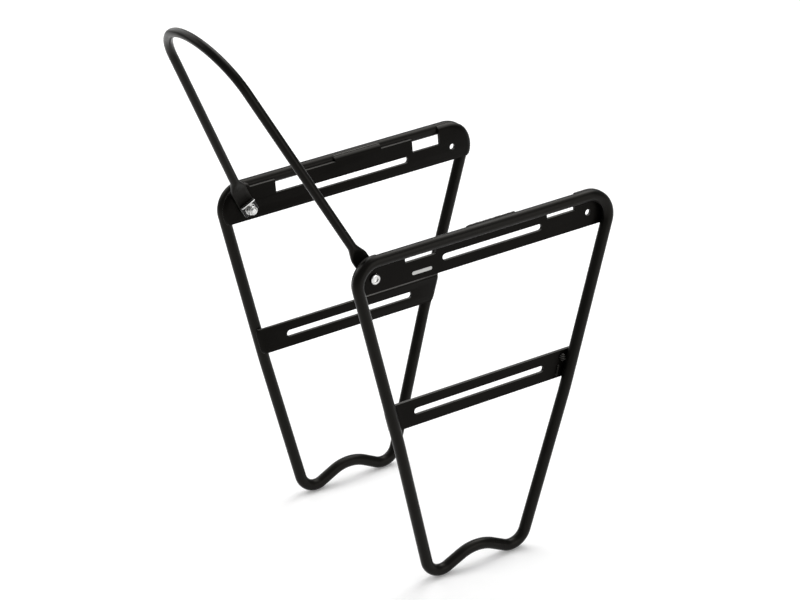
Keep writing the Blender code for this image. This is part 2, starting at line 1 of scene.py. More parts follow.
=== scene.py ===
"""Finished looks of a low-rider pannier rack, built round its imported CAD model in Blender 4.5.

Every piece is made again with a fine surface on the CAD model's own lines, in metres and in its frame:
the bent rods, the slotted plates with their rolled edges, the weld beads, the flattened hoop ends and the
threaded fasteners. X runs across the wheel, Y along it and Z up.
"""

import math
import random

import bmesh
import bpy
from mathutils import Matrix, Vector
from mathutils.geometry import intersect_line_line_2d, tessellate_polygon


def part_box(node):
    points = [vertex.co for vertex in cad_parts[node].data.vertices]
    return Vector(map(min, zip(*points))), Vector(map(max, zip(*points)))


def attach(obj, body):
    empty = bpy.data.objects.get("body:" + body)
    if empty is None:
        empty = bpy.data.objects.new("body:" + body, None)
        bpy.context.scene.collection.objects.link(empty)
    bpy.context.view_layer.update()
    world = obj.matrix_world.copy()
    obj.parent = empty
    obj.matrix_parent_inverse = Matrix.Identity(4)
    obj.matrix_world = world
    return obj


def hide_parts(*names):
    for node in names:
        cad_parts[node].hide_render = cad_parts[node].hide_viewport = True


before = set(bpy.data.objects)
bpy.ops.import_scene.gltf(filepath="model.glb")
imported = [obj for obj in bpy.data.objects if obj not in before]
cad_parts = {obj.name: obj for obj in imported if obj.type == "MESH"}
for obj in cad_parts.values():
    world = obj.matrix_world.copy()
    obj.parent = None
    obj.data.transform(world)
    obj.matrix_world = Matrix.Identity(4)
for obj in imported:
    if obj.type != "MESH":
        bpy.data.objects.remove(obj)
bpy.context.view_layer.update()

MM = 0.001
GAP = 0.3 * MM  # air between pieces that touch on a real rack
UPWARDS = Vector((0.0, 1.0))  # in Y and Z

# Lines of the design, as the CAD model has them
PIVOT_FROM_FOOT_ZERO = 7.7 * MM
ROD_RADIUS = 5.0 * MM
FRONT_LEG_AT_FLOOR = 38.7 * MM
FRONT_LEG_LEAN = -0.180
REAR_LEG_AT_FLOOR = 128.4 * MM
REAR_LEG_LEAN = 0.3714
HUMP_CORNER = (85.5 * MM, 20.0 * MM)
FRONT_FLANK_SLOPE = 0.46
REAR_FLANK_SLOPE = -0.50
TOP_BEND_RADIUS = 19.0 * MM
HUMP_BEND_RADIUS = 37.0 * MM
KINK_HEIGHT = 135.0 * MM
KINK_BLEND = 8.0 * MM
KINK_SLOPE = 0.0533
KINK_STEPS = 10

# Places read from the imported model
_, rod_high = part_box("left_side_frame_rod")
top_plate_low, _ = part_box("left_top_plate")
screw_low, screw_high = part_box("left_pivot_screw")
saddle_low, saddle_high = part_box("left_saddle_washer")
washer_low, washer_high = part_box("left_flat_washer")
nut_low, nut_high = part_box("left_lock_nut")
FRAME_HALF_SPACING = rod_high.x - ROD_RADIUS
RAIL_HEIGHT = rod_high.z - ROD_RADIUS
PIVOT = Vector((0.0, (screw_low.y + screw_high.y) / 2, (screw_low.z + screw_high.z) / 2))
FOOT_ZERO = PIVOT_FROM_FOOT_ZERO - PIVOT.y  # Y of the design's zero is minus this

# Plates
SHEET = 3.0 * MM
CURL_END_SHEET = 1.2 * MM
SHEET_OUTER_RADIUS = ROD_RADIUS + GAP
SHEET_INNER_RADIUS = SHEET_OUTER_RADIUS + SHEET
SHEET_NEUTRAL_RADIUS = SHEET_OUTER_RADIUS + SHEET / 2
SLOT_WIDTH = 6.0 * MM
TOP_PLATE_BOTTOM = 269.2 * MM
TOP_SLOT = (72.1 * MM, 169.1 * MM)
REAR_HOLE_Y = 215.0 * MM
REAR_HOLE_RADIUS = 2.75 * MM
NOTCH_BOTTOM = 286.3 * MM
FRONT_NOTCH = (37.0 * MM, 66.4 * MM)
REAR_NOTCH = (174.4 * MM, 202.3 * MM)
MIDDLE_TAB = (97.0 * MM, 143.0 * MM)
FRONT_WRAP_END = 12.5 * MM
FRONT_WRAP_ON_LEG = 2.6 * MM
FRONT_WRAP_ON_RAIL = 4.4 * MM
MIDDLE_WRAP = 4.5 * MM
REAR_WRAP_ON_RAIL = 4.7 * MM
REAR_WRAP_ROUND_BEND = 6.8 * MM
CROSS_PLATE = (143.4 * MM, 166.6 * MM)
CROSS_SLOT = (34.6 * MM, 162.3 * MM)
CROSS_SLOT_HEIGHT = 155.5 * MM
CROSS_WRAP = 3.4 * MM
WRAP_CORNER = 5.0 * MM
EDGE_ROUNDING = 0.5 * MM

# Welds
BEAD_RADIUS = 0.75 * MM
BEAD_PITCH = 1.5 * MM
BEAD_RIPPLE = 0.34  # how much a bead's width grows along each ripple, as a share
BEAD_SWELL = 0.12  # how much its width wanders from one ripple to the next
RIPPLE_STEPS = 5
BEAD_SINK = 0.15 * MM
TOP_BEAD_SIZE = 0.8  # of the usual radius, at the top plate's two ends
TAB_BEAD_SIZE = 1.5
CROSS_BEAD_SIZE = 0.9
FIRST_SEEDS = {1: 20, -1: 40}  # by side, for the beads' widths
GROOVE_BEAD_PROUD = 0.3  # how much of its radius a bead on a flat face stands off
REAR_LUMP = (157.6 * MM, 163.4 * MM)
REAR_LUMP_FROM_LEG = 7.0 * MM
REAR_LUMP_RADIUS = 3.6 * MM
REAR_STREAK = (145.6 * MM, 154.6 * MM)
REAR_STREAK_FROM_LEG = 8.8 * MM
REAR_STREAK_RADIUS = 1.3 * MM

# Hoop
HOOP_RADIUS = 3.9 * MM
HOOP_LEAN = math.radians(24.5)
HOOP_LEG_ANGLE = math.radians(12.7)
HOOP_LEG_AT_PIVOT = 101.8 * MM
HOOP_ARC_HALF_WIDTH = 61.5 * MM
HOOP_ARC_HEIGHT = 48.0 * MM
HOOP_APEX = 219.8 * MM
SPADE_HALF_WIDTH = 7.25 * MM
SPADE_TIP_HALF_WIDTH = 0.5 * MM
SPADE_THICKNESS = 3.4 * MM
SPADE_LENGTH = 20.0 * MM
SPADE_TAPER = 12.0 * MM
SPADE_ROUNDNESS = 5.0
SPADE_BEND_RADIUS = 30.0 * MM
SPADE_FACE = FRAME_HALF_SPACING - SHEET_INNER_RADIUS - GAP
SPADE_CENTRE = SPADE_FACE - SPADE_THICKNESS / 2
UP_LEG = Vector((0.0, -math.sin(HOOP_LEAN), math.cos(HOOP_LEAN)))
ACROSS_LEG = Vector((0.0, math.cos(HOOP_LEAN), math.sin(HOOP_LEAN)))

# Fasteners
THREAD_RADIUS = 2.5 * MM
THREAD_PITCH = 0.8 * MM
THREAD_DEPTH = 0.42 * MM
THREAD_FLANK = 2.6  # steepness of the groove, where 2 makes it as wide as the pitch
THREAD_STEPS = 8
HEAD_RADIUS = 4.5 * MM
HEAD_HEIGHT = 1.9 * MM
SOCKET_FLATS = 3.8 * MM
SOCKET_DEPTH = 1.5 * MM
CLEARANCE_RADIUS = THREAD_RADIUS + GAP
SADDLE_THICKNESS = 1.1 * MM
SADDLE_REACH = (-5.0 * MM, 6.6 * MM)
WASHER_RADIUS = 5.0 * MM
NUT_FLATS = 8.0 * MM
NUT_HEX_HEIGHT = 3.5 * MM
NUT_COLLAR_RADIUS = 3.85 * MM
NUT_POCKET_RADIUS = 3.45 * MM
COLLAR_ROUNDING = 0.55 * MM
COLLAR_ROLL = 0.75 * MM  # how far its lip is rolled in over the nylon ring
NYLON_DEPTH = 2.0 * MM

# Looks
ROD_SHADES = ((0.0022, 0.0021, 0.0018), (0.0040, 0.0038, 0.0033))  # darkest and lightest
PLATE_SHADES = ((0.0018, 0.0016, 0.0014), (0.0032, 0.0029, 0.0025))
# Painted highlights: lighter colours painted on what faces up or down, the plates' long edges and the weld
# beads' tops and undersides
PLATE_PAINTED_HIGHLIGHT = (0.075, 0.073, 0.069)
WELD_PAINTED_HIGHLIGHT = (0.070, 0.068, 0.064)
ROD_SPECULAR = 0.13  # the coat reflects little face on and much at a glancing angle
PLATE_SPECULAR = 0.07
COAT_TINT = (1.0, 0.95, 0.87, 1.0)

# Fineness
ROD_SIDES = 40
BEND_STEP = math.radians(3.5)
WRAP_STEPS = 8
HOLE_SIDES = 40
TURNED_SIDES = 72
BEAD_SIDES = 12

# Camera
VIEW_TURN = math.radians(59.624)  # round the upright axis, from looking along +Y
VIEW_RISE = math.radians(23.319)
VIEW_ROLL = math.radians(-4.525)
VIEW_DISTANCE = 2742.6 * MM
VIEW_TARGET = Vector((0.0, 90.43 * MM - FOOT_ZERO, 204.48 * MM))
LENS = 146.79  # millimetres, as the camera takes them
SENSOR = 36.0

# Studio
ROOM_LIGHT = 0.32
FLOOR_GLOW = 0.16
FLOOR_HALF_SIZE = 20.0
LIT_POINT = Vector((0.0, 0.0, 0.2))
LIGHT_DISTANCE = 2.0
SOFTBOXES = (  # name, bearing from +X towards +Y, rise, width, height, watts
    ("rear_softbox", 180.0, 32.0, 1.3, 1.9, 14.0),
    ("high_rear_softbox", 120.0, 55.0, 1.3, 1.3, 21.0),
    ("right_softbox", 20.0, 15.0, 1.1, 1.4, 9.0),
    ("left_softbox", 220.0, 38.0, 1.1, 1.3, 7.0),
    ("overhead_softbox", 65.0, 68.0, 1.5, 1.5, 9.0),
)


# Materials


def add_node(tree, kind, **values):
    """A shader node whose inputs and settings are given by name."""
    node = tree.nodes.new(kind)
    for name, value in values.items():
        label = name.replace("_", " ")
        if label in node.inputs:
            node.inputs[label].default_value = value
        else:
            setattr(node, name, value)
    return node


def new_material(name, metallic=0.0, specular=0.5):
    material = bpy.data.materials.new(name)
    material.use_nodes = True
    tree = material.node_tree
    shader = tree.nodes["Principled BSDF"]
    shader.inputs["Metallic"].default_value = metallic
    shader.inputs["Specular IOR Level"].default_value = specular
    return material, tree, shader


def noise(tree, coordinates, scale, detail=4.0, roughness=0.55):
    node = add_node(tree, "ShaderNodeTexNoise", Scale=scale, Detail=detail, Roughness=roughness)
    tree.links.new(coordinates, node.inputs["Vector"])
    return node.outputs["Fac"]


def remap(tree, value, low, high, start=0.0, end=1.0):
    node = add_node(tree, "ShaderNodeMapRange")
    for label, number in (("From Min", start), ("From Max", end), ("To Min", low), ("To Max", high)):
        node.inputs[label].default_value = number
    tree.links.new(value, node.inputs["Value"])
    return node.outputs["Result"]


def colours_from(tree, value, stops):
    """A colour ramp over a value from stops (position, colour)."""
    ramp = tree.nodes.new("ShaderNodeValToRGB")
    while len(ramp.color_ramp.elements) < len(stops):
        ramp.color_ramp.elements.new(0.5)
    for element, (position, colour) in zip(ramp.color_ramp.elements, stops):
        element.position = position
        element.color = (*colour, 1.0)
    tree.links.new(value, ramp.inputs["Fac"])
    return ramp.outputs["Color"]


def add_bump(tree, shader, heights):
    """Chains bumps from (value, distance, strength)."""
    normal = None
    for value, distance, strength in heights:
        bump = add_node(tree, "ShaderNodeBump", Distance=distance, Strength=strength)
        tree.links.new(value, bump.inputs["Height"])
        if normal is not None:
            tree.links.new(normal, bump.inputs["Normal"])
        normal = bump.outputs["Normal"]
    tree.links.new(normal, shader.inputs["Normal"])


def mix_shades(tree, share, shade, other):
    mix = add_node(tree, "ShaderNodeMixRGB")
    tree.links.new(share, mix.inputs["Fac"])
    for value, label in ((shade, "Color1"), (other, "Color2")):
        if isinstance(value, tuple):
            mix.inputs[label].default_value = (*value, 1.0)
        else:
            tree.links.new(value, mix.inputs[label])
    return mix.outputs["Color"]


def shade_facing(tree, shade, axis, other, start, end):
    """Turns a shade into another where the surface looks along an axis, either way."""
    normal = tree.nodes.new("ShaderNodeTexCoord").outputs["Normal"]
    parts = tree.nodes.new("ShaderNodeSeparateXYZ")
    tree.links.new(normal, parts.inputs["Vector"])
    size = add_node(tree, "ShaderNodeMath", operation="ABSOLUTE")
    tree.links.new(parts.outputs[axis], size.inputs[0])
    share = remap(tree, size.outputs["Value"], low=0.0, high=1.0, start=start, end=end)
    return mix_shades(tree, share, shade, other)


def paint_shade_on_saddle_faces(tree, place, shade, painted_shade):
    """Paints shade: darkens faces that look across the rack, but not the saddle's upturned edge, which
    keeps its bright zinc.
    """
    along = add_node(tree, "ShaderNodeVectorMath", operation="DOT_PRODUCT")
    along.inputs[1].default_value = UP_LEG
    tree.links.new(place, along.inputs[0])
    edge = PIVOT.dot(UP_LEG) + SADDLE_REACH[1] - SADDLE_THICKNESS
    blend = 0.2 * MM
    share = remap(tree, along.outputs["Value"], low=0.0, high=1.0, start=edge - blend, end=edge)
    return mix_shades(tree, share, shade_facing(tree, shade, "X", painted_shade, start=0.80, end=0.95), shade)


def powder_coat(name, shades, gloss_range, specular, edges=None):
    """Satin black powder coat with a fine orange peel, cloudy gloss and warm highlights.

    Where edges is given, it is a painted highlight: a lighter colour painted on what faces up or down, such
    as a plate's long edges and a bead's top, standing in for light caught there.
    """
    material, tree, shader = new_material(name, specular=specular)
    shader.inputs["Specular Tint"].default_value = COAT_TINT
    place = tree.nodes.new("ShaderNodeTexCoord").outputs["Object"]
    clouds = noise(tree, place, scale=38.0, detail=5.0)
    peel = noise(tree, place, scale=1400.0, detail=2.0, roughness=0.5)
    grain = noise(tree, place, scale=5200.0, detail=1.0, roughness=0.4)
    shade = colours_from(tree, clouds, [(0.30, shades[0]), (0.72, shades[1])])
    # painted highlight: a lighter colour where the surface faces up or down
    if edges is not None:
        shade = shade_facing(tree, shade, "Z", edges, start=0.55, end=0.90)
    tree.links.new(shade, shader.inputs["Base Color"])
    gloss = remap(tree, clouds, *gloss_range, start=0.3, end=0.7)
    tree.links.new(gloss, shader.inputs["Roughness"])
    add_bump(tree, shader, [(peel, 0.05 * MM, 0.35), (grain, 0.012 * MM, 0.25)])
    return material


def zinc_plate(name, colour, gloss_range, streaks_across, flats=None):
    """Bright zinc over steel, with fine turning marks or rolling streaks.

    Where flats is given, it is a painted shade: a dark colour painted on the saddle's faces below its
    upturned edge, where they lie in shade.
    """
    material, tree, shader = new_material(name, metallic=1.0)
    place = tree.nodes.new("ShaderNodeTexCoord").outputs["Object"]
    stretch = add_node(tree, "ShaderNodeMapping")
    stretch.inputs["Scale"].default_value = streaks_across
    tree.links.new(place, stretch.inputs["Vector"])
    streaks = noise(tree, stretch.outputs["Vector"], scale=900.0, detail=3.0)
    clouds = noise(tree, place, scale=320.0)
    darker = tuple(0.72 * channel for channel in colour)
    shade = colours_from(tree, clouds, [(0.32, darker), (0.66, colour)])
    # painted shade on the saddle's faces below its upturned edge
    if flats is not None:
        shade = paint_shade_on_saddle_faces(tree, place, shade, flats)
    tree.links.new(shade, shader.inputs["Base Color"])
    gloss = remap(tree, streaks, *gloss_range, start=0.3, end=0.7)
    tree.links.new(gloss, shader.inputs["Roughness"])
    add_bump(tree, shader, [(streaks, 0.01 * MM, 0.3), (clouds, 0.02 * MM, 0.12)])
    return material


def nylon():
    material, tree, shader = new_material("natural_nylon")
    place = tree.nodes.new("ShaderNodeTexCoord").outputs["Object"]
    clouds = noise(tree, place, scale=700.0, detail=3.0)
    shade = colours_from(tree, clouds, [(0.3, (0.60, 0.59, 0.54)), (0.7, (0.74, 0.73, 0.68))])
    tree.links.new(shade, shader.inputs["Base Color"])
    tree.links.new(remap(tree, clouds, low=0.38, high=0.52), shader.inputs["Roughness"])
    shader.inputs["Subsurface Weight"].default_value = 0.12
    shader.inputs["Subsurface Scale"].default_value = 0.5 * MM
    add_bump(tree, shader, [(clouds, 0.02 * MM, 0.2)])
    return material


def printed_ink():
    """Pale pad-printed ink, thin enough to let the coat's grain show."""
    material, tree, shader = new_material("pale_ink")
    place = tree.nodes.new("ShaderNodeTexCoord").outputs["Object"]
    specks = noise(tree, place, scale=2600.0, roughness=0.7)
    shade = colours_from(tree, specks, [(0.30, (0.34, 0.34, 0.33)), (0.48, (0.62, 0.62, 0.60))])
    tree.links.new(shade, shader.inputs["Base Color"])
    tree.links.new(remap(tree, specks, low=0.40, high=0.58), shader.inputs["Roughness"])
    add_bump(tree, shader, [(specks, 0.02 * MM, 0.3)])
    return material


def studio_floor():
    material, tree, shader = new_material("paper_sweep", specular=0.2)
    place = tree.nodes.new("ShaderNodeTexCoord").outputs["Object"]
    fibres = noise(tree, place, scale=60.0, detail=6.0)
    shade = colours_from(tree, fibres, [(0.3, (0.905, 0.905, 0.905)), (0.7, (0.92, 0.92, 0.92))])
    tree.links.new(shade, shader.inputs["Base Color"])
    shader.inputs["Roughness"].default_value = 0.55
    shader.inputs["Emission Color"].default_value = (1.0, 0.995, 0.985, 1.0)
    shader.inputs["Emission Strength"].default_value = FLOOR_GLOW
    return material


# Mesh helpers


def add_piece(name, points, faces, material, side=1, sharp=math.radians(32)):
    """One closed solid in the frame's own coordinates. side -1 makes the mirror image across X."""
    mesh = bpy.data.meshes.new(name)
    turned_faces = faces if side > 0 else [tuple(reversed(face)) for face in faces]
    mesh.from_pydata([(side * p[0], p[1], p[2]) for p in points], [], [tuple(f) for f in turned_faces])
    mesh.materials.append(material)
    tidy = bmesh.new()
    tidy.from_mesh(mesh)
    bmesh.ops.recalc_face_normals(tidy, faces=tidy.faces)
    tidy.to_mesh(mesh)
    tidy.free()
    mesh.shade_smooth()
    mesh.set_sharp_from_angle(angle=sharp)
    piece = bpy.data.objects.new(name, mesh)
    bpy.context.scene.collection.objects.link(piece)
    return piece


def round_edges(piece, width, segments=2, limit=math.radians(35)):
    bevel = piece.modifiers.new("rounded_edges", "BEVEL")
    bevel.width = width
    bevel.segments = segments
    bevel.limit_method = "ANGLE"
    bevel.angle_limit = limit
    bevel.harden_normals = True


def tube_faces(rings, sides, closed):
    faces = []
    for ring in range(rings if closed else rings - 1):
        here, there = ring * sides, ((ring + 1) % rings) * sides
        for k in range(sides):
            after = (k + 1) % sides
            faces.append((here + k, here + after, there + after, there + k))
    if not closed:
        faces.append(tuple(reversed(range(sides))))
        faces.append(tuple(range((rings - 1) * sides, rings * sides)))
    return faces


# Bent rod


def fillet(before, corner, after, radius, bend_step=BEND_STEP):
    """Points of the arc that rounds a corner of a flat path."""
    a, b, c = Vector(before), Vector(corner), Vector(after)
    into = (b - a).normalized()
    out = (c - b).normalized()
    turn = into.angle(out)
    centre = b + (out - into).normalized() * radius / math.cos(turn / 2)
    arm = b - into * radius * math.tan(turn / 2) - centre
    steps = max(2, math.ceil(turn / bend_step))
    sign = 1.0 if into.x * out.y - into.y * out.x > 0 else -1.0
    points = []
    for step in range(steps + 1):
        angle = sign * turn * step / steps
        cos_a, sin_a = math.cos(angle), math.sin(angle)
        points.append(centre + Vector((arm.x * cos_a - arm.y * sin_a, arm.x * sin_a + arm.y * cos_a)))
    return points


def foot_radius(before, corner, after, height):
    """Bend radius that makes the lowest point of a bend lie at the given height."""
    a, b, c = Vector(before), Vector(corner), Vector(after)
    into = (b - a).normalized()
    out = (c - b).normalized()
    rise = (out - into).normalized().y / math.cos(into.angle(out) / 2)
    return (height - b.y) / (rise - 1.0)


def meet(a, slope_a, b, slope_b):
    """Where two lines cross, each given by a point and a direction in Y and Z."""
    a, slope_a, b, slope_b = Vector(a), Vector(slope_a), Vector(b), Vector(slope_b)
    return intersect_line_line_2d(a - slope_a, a + slope_a, b - slope_b, b + slope_b)


def leg_y(height, at_floor, lean):
    return at_floor + lean * height


def frame_bends():
    """Arc points of each corner of the loop: top rear, top front, front foot, hump, rear foot."""
    front_leg = ((FRONT_LEG_AT_FLOOR, 0.0), (FRONT_LEG_LEAN, 1.0))
    rear_leg = ((REAR_LEG_AT_FLOOR, 0.0), (REAR_LEG_LEAN, 1.0))
    corners = [
        Vector((leg_y(RAIL_HEIGHT, REAR_LEG_AT_FLOOR, REAR_LEG_LEAN), RAIL_HEIGHT)),
        Vector((leg_y(RAIL_HEIGHT, FRONT_LEG_AT_FLOOR, FRONT_LEG_LEAN), RAIL_HEIGHT)),
        meet(*front_leg, HUMP_CORNER, (1.0, FRONT_FLANK_SLOPE)),
        Vector(HUMP_CORNER),
        meet(*rear_leg, HUMP_CORNER, (1.0, REAR_FLANK_SLOPE)),
    ]
    radii = [TOP_BEND_RADIUS, TOP_BEND_RADIUS, None, HUMP_BEND_RADIUS, None]
    bends = []
    for index, corner in enumerate(corners):
        around = (corners[index - 1], corner, corners[(index + 1) % len(corners)])
        bends.append(fillet(*around, radii[index] or foot_radius(*around, ROD_RADIUS)))
    return bends


def kink_offset(height):
    """How far the rod has moved towards the wheel at a height."""
    depth = KINK_HEIGHT - height
    if depth <= -KINK_BLEND:
        return 0.0
    if depth >= KINK_BLEND:
        return KINK_SLOPE * depth
    return KINK_SLOPE * (depth + KINK_BLEND) ** 2 / (4 * KINK_BLEND)


def kink_points(at_floor, lean):
    heights = [KINK_HEIGHT + KINK_BLEND * (1 - 2 * step / KINK_STEPS) for step in range(KINK_STEPS + 1)]
    return [Vector((leg_y(height, at_floor, lean), height)) for height in heights]


def frame_centre_line():
    top_rear, top_front, front_foot, hump, rear_foot = frame_bends()
    flat = top_rear + top_front + kink_points(FRONT_LEG_AT_FLOOR, FRONT_LEG_LEAN)
    flat += front_foot + hump + rear_foot
    flat += kink_points(REAR_LEG_AT_FLOOR, REAR_LEG_LEAN)[::-1]
    return [Vector((FRAME_HALF_SPACING - kink_offset(p.y), p.x - FOOT_ZERO, p.y)) for p in flat]


def rod_loop(side, name, material):
    path = frame_centre_line()
    count = len(path)
    points = []
    for index, centre in enumerate(path):
        along = (path[(index + 1) % count] - path[index - 1]).normalized()
        across = Vector((1.0, 0.0, 0.0))
        across = (across - along * across.dot(along)).normalized()
        outward = along.cross(across)
        for k in range(ROD_SIDES):
            angle = 2 * math.pi * k / ROD_SIDES
            points.append(centre + ROD_RADIUS * (across * math.cos(angle) + outward * math.sin(angle)))
    return add_piece(name, points, tube_faces(count, ROD_SIDES, True), material, side)


# Sheet plates


def curl_place(base, outward, curl, radius):
    """Point on a curled edge: the distance round the rod is curl, at a radius from the rod's centre."""
    angle = curl / SHEET_NEUTRAL_RADIUS
    flat = base + outward * radius * math.sin(angle)
    return Vector((FRAME_HALF_SPACING - radius * math.cos(angle), flat.x - FOOT_ZERO, flat.y))


class Sheet:
    """A flat sheet with holes whose edges may curl round the rod."""

    def __init__(self):
        self.points = []
        self.faces = []

    def add_point(self, base, outward=Vector((0.0, 0.0)), curl=0.0, nearness=0.0):
        self.points.append((Vector(base), outward, curl, nearness))
        return len(self.points) - 1

    def fill(self, outline, holes):
        loops = [outline] + holes
        flat = [number for loop in loops for number in loop]
        shapes = [[self.points[n][0].to_3d() for n in loop] for loop in loops]
        for triangle in tessellate_polygon(shapes):
            self.faces.append(tuple(flat[k] for k in triangle))

    def curl_edge(self, base_numbers, outwards, lengths):
        """Adds the strip that curls outwards from an edge. A length of zero closes it to a point."""
        columns = []
        for number, outward, length in zip(base_numbers, outwards, lengths):
            column = [number]
            for step in range(1, WRAP_STEPS + 1):
                if length <= 0.0:
                    column.append(number)
                else:
                    part = step / WRAP_STEPS
                    column.append(self.add_point(self.points[number][0], outward, length * part, part))
            columns.append(column)
        for left, right in zip(columns, columns[1:]):
            for step in range(WRAP_STEPS):
                face = [left[step], right[step], right[step + 1], left[step + 1]]
                unique = list(dict.fromkeys(face))
                if len(unique) > 2:
                    self.faces.append(tuple(unique))

    def surface(self, radius, end_radius):
        return [
            curl_place(base, outward, curl, radius + (end_radius - radius) * nearness)
            for base, outward, curl, nearness in self.points
        ]

    def turned_faces(self):
        """The faces, turned so that all of them run the same way round."""
        spread = bmesh.new()
        for base, outward, curl, _ in self.points:
            flat = base + outward * curl
            spread.verts.new((flat.x, flat.y, 0.0))
        spread.verts.ensure_lookup_table()
        spread.verts.index_update()
        for face in self.faces:
            spread.faces.new([spread.verts[n] for n in face])
        bmesh.ops.recalc_face_normals(spread, faces=spread.faces)
        flat_turn = [tuple(vertex.index for vertex in face.verts) for face in spread.faces]
        spread.free()
        return flat_turn

    def solid(self):
        faces = self.turned_faces()
        outer = self.surface(SHEET_OUTER_RADIUS, SHEET_OUTER_RADIUS)
        inner = self.surface(SHEET_INNER_RADIUS, SHEET_OUTER_RADIUS + CURL_END_SHEET)
        shift = len(outer)
        edges = {(a, b) for face in faces for a, b in zip(face, face[1:] + face[:1])}
        rim = [(a, b) for a, b in edges if (b, a) not in edges]
        solid = list(faces)
        solid += [tuple(n + shift for n in reversed(face)) for face in faces]
        solid += [(b, a, a + shift, b + shift) for a, b in sorted(rim)]
        return outer + inner, solid


def round_hole(sheet, centre, radius):
    angles = [2 * math.pi * k / HOLE_SIDES for k in range(HOLE_SIDES)]
    return [sheet.add_point(Vector(centre) + radius * Vector((math.cos(a), math.sin(a)))) for a in angles]


def long_slot(sheet, ends, height):
    radius = SLOT_WIDTH / 2
    half = HOLE_SIDES // 2
    numbers = []
    for centre_y, start in ((ends[1] - radius, -math.pi / 2), (ends[0] + radius, math.pi / 2)):
        for k in range(half + 1):
            angle = start + math.pi * k / half
            spot = Vector((centre_y + radius * math.cos(angle), height + radius * math.sin(angle)))
            numbers.append(sheet.add_point(spot))
    return numbers


def rounded_start(length, steps=8):
    """Distances along an edge at which a rounded corner of a curl is sampled."""
    return [length * (1 - math.cos(math.pi / 2 * k / steps)) for k in range(steps + 1)]


def corner_fullness(distance, corner=WRAP_CORNER):
    """How much of a curl's full length is there at a distance from its rounded end."""
    if distance >= corner:
        return 1.0
    return math.sqrt(max(0.0, 1 - (1 - distance / corner) ** 2))


def leg_run(at_floor, lean, low, high, from_low, from_high):
    """Points up a leg between two heights, closer together near the ends that have distances."""
    heights = sorted({low + h for h in from_low} | {high - h for h in from_high} | {low, high})
    return [Vector((leg_y(height, at_floor, lean), height)) for height in heights]


def leg_outward(lean, facing):
    """Direction away from the loop, square to a leg."""
    return Vector((facing, -facing * lean)).normalized()


def path_outwards(path, ends):
    outwards = []
    for index in range(len(path)):
        before = path[max(0, index - 1)]
        after = path[min(len(path) - 1, index + 1)]
        along = (after - before).normalized()
        outwards.append(Vector((-along.y, along.x)))
    outwards[0], outwards[-1] = ends
    return outwards


def path_lengths(path):
    lengths = [0.0]
    for a, b in zip(path, path[1:]):
        lengths.append(lengths[-1] + (b - a).length)
    return lengths


def front_edge():
    """The top plate's front edge on the rod's centre line, with directions and curl lengths."""
    bend = list(reversed(frame_bends()[1]))
    leg = leg_run(
        FRONT_LEG_AT_FLOOR, FRONT_LEG_LEAN, TOP_PLATE_BOTTOM, bend[0].y, rounded_start(WRAP_CORNER), (0.0,)
    )
    rail_samples = [FRONT_WRAP_END - h for h in reversed(rounded_start(WRAP_CORNER))]
    path = leg + bend[1:] + [Vector((y, RAIL_HEIGHT)) for y in rail_samples if y > bend[-1].x]
    run = path_lengths(path)
    curls = []
    for s in run:
        full = FRONT_WRAP_ON_LEG + (FRONT_WRAP_ON_RAIL - FRONT_WRAP_ON_LEG) * s / run[-1]
        curls.append(full * min(corner_fullness(s), corner_fullness(run[-1] - s)))
    return path, path_outwards(path, (leg_outward(FRONT_LEG_LEAN, -1.0), UPWARDS)), curls


def rear_edge():
    """The same for its rear edge, from the rear notch round the bend and down the leg."""
    bend = list(reversed(frame_bends()[0]))
    leg = leg_run(
        REAR_LEG_AT_FLOOR, REAR_LEG_LEAN, TOP_PLATE_BOTTOM, bend[-1].y, rounded_start(WRAP_CORNER), (0.0,)
    )
    path = [Vector((REAR_NOTCH[1], RAIL_HEIGHT))] + bend + list(reversed(leg))[1:]
    run = path_lengths(path)
    curls = []
    for s in run:
        grown = min(1.0, max(0.0, (s - run[1]) / TOP_BEND_RADIUS))
        full = REAR_WRAP_ON_RAIL + (REAR_WRAP_ROUND_BEND - REAR_WRAP_ON_RAIL) * grown
        curls.append(full * corner_fullness(run[-1] - s))
    return path, path_outwards(path, (UPWARDS, leg_outward(REAR_LEG_LEAN, 1.0))), curls


def middle_edge():
    """The middle tab's edge on the rail."""
    steps = 12
    span = MIDDLE_TAB[1] - MIDDLE_TAB[0]
    path = [Vector((MIDDLE_TAB[0] + span * k / steps, RAIL_HEIGHT)) for k in range(steps + 1)]
    return path, [UPWARDS] * len(path), [MIDDLE_WRAP] * len(path)


def cross_edge(at_floor, lean, facing):
    """One end of the cross plate, up a leg."""
    samples = rounded_start(WRAP_CORNER)
    path = leg_run(at_floor, lean, *CROSS_PLATE, samples, samples)
    run = path_lengths(path)
    curls = [CROSS_WRAP * min(corner_fullness(s), corner_fullness(run[-1] - s)) for s in run]
    return path, [leg_outward(lean, facing)] * len(path), curls


def finish_plate(sheet, name, material, side):
    points, faces = sheet.solid()
    piece = add_piece(name, points, faces, material, side)
    round_edges(piece, EDGE_ROUNDING)
    return piece


